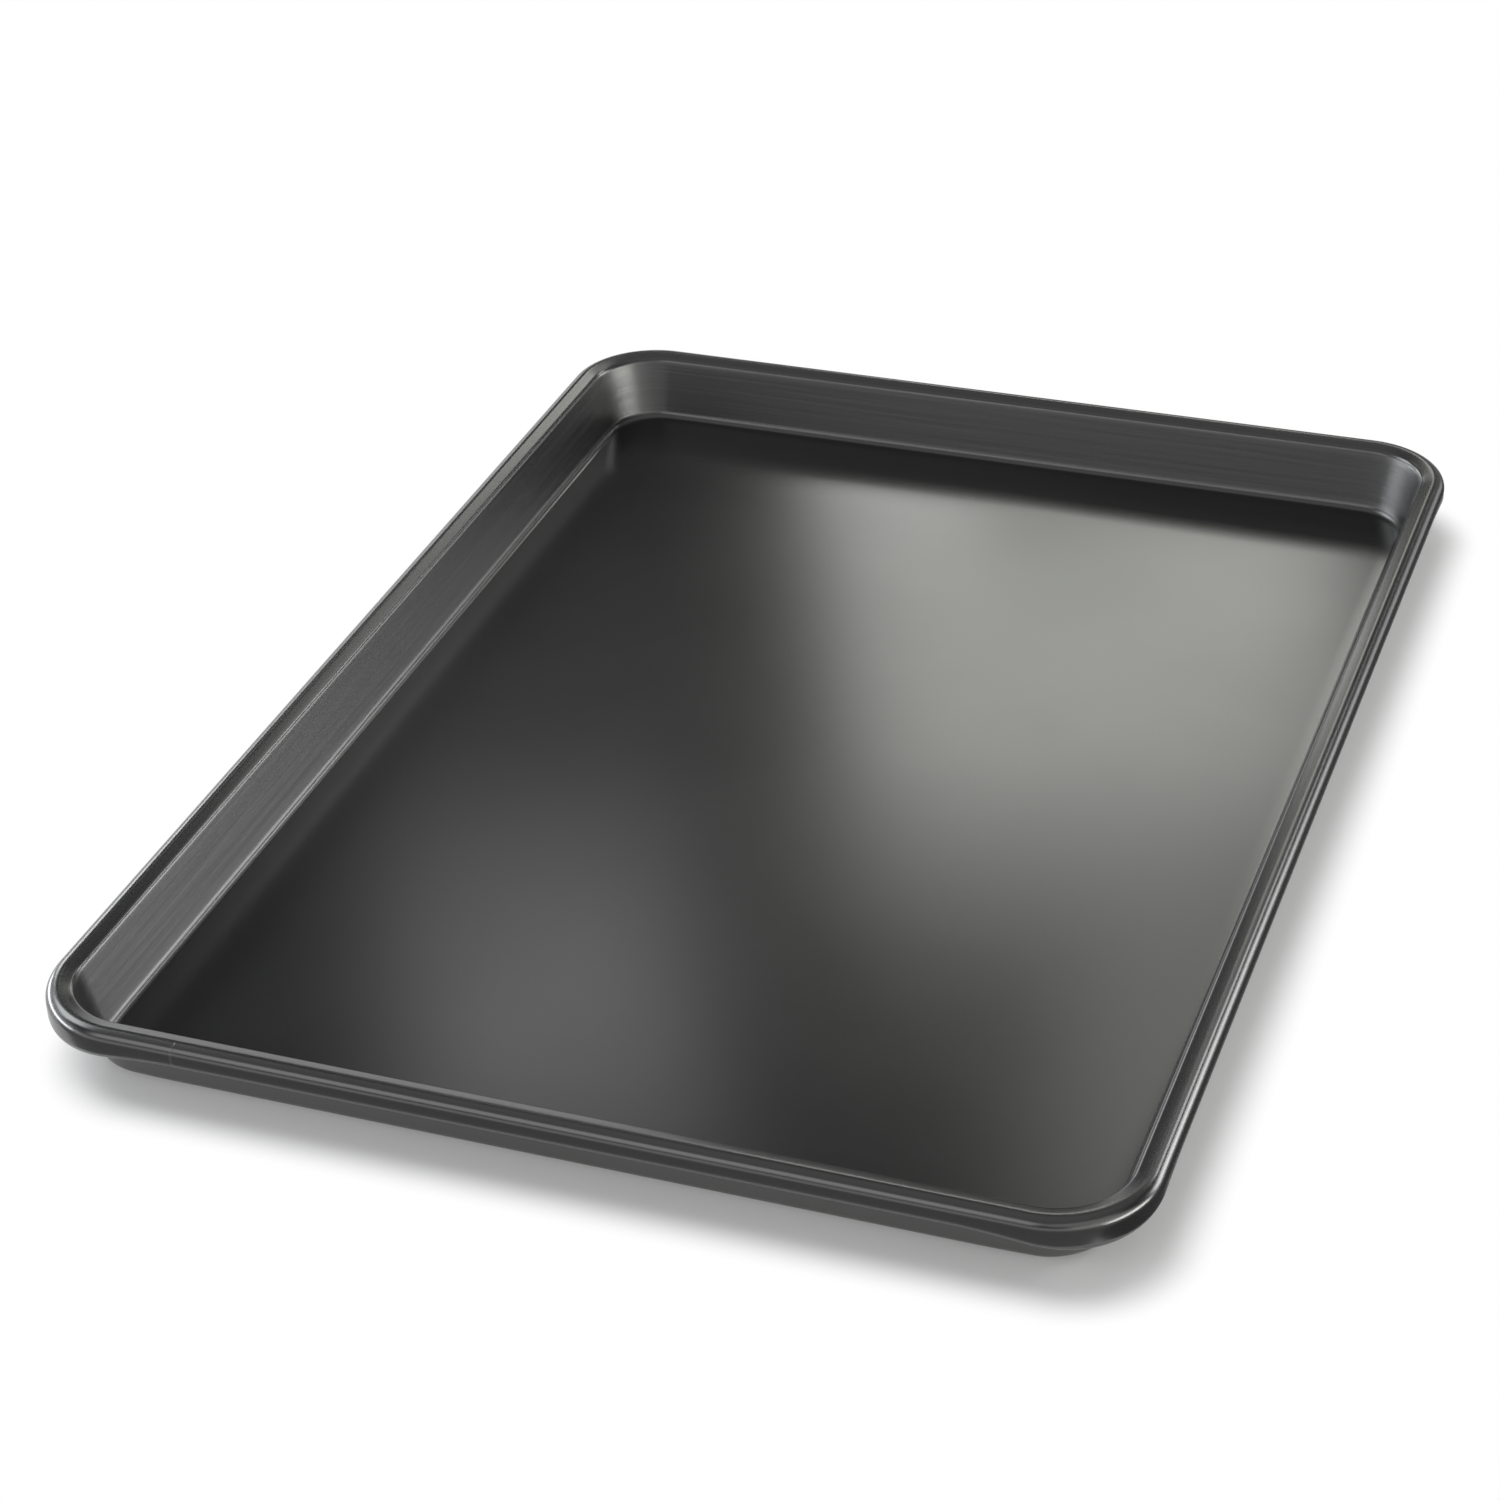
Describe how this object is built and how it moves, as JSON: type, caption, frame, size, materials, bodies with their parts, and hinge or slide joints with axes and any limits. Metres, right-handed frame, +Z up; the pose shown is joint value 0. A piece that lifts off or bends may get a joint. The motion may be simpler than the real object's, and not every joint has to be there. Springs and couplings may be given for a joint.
{
  "type": "jelly roll pan",
  "caption": "Shallow rectangular metal baking pan with rounded corners, leaning walls and a rim curled round a stiffening wire.",
  "frame": {"origin": "middle of the underside, which rests on the table", "axes": "+Z up, +Y along the pan's long side, +X across it"},
  "size_m": [0.32, 0.447, 0.023],
  "materials": {
    "coated_sheet": "dark grey satin nonstick coating on steel sheet",
    "plated_wire": "dull zinc plated round steel wire"
  },
  "bodies": {
    "root": {"pan_shell": "coated_sheet", "rim_wire": "plated_wire"}
  },
  "joints": []
}
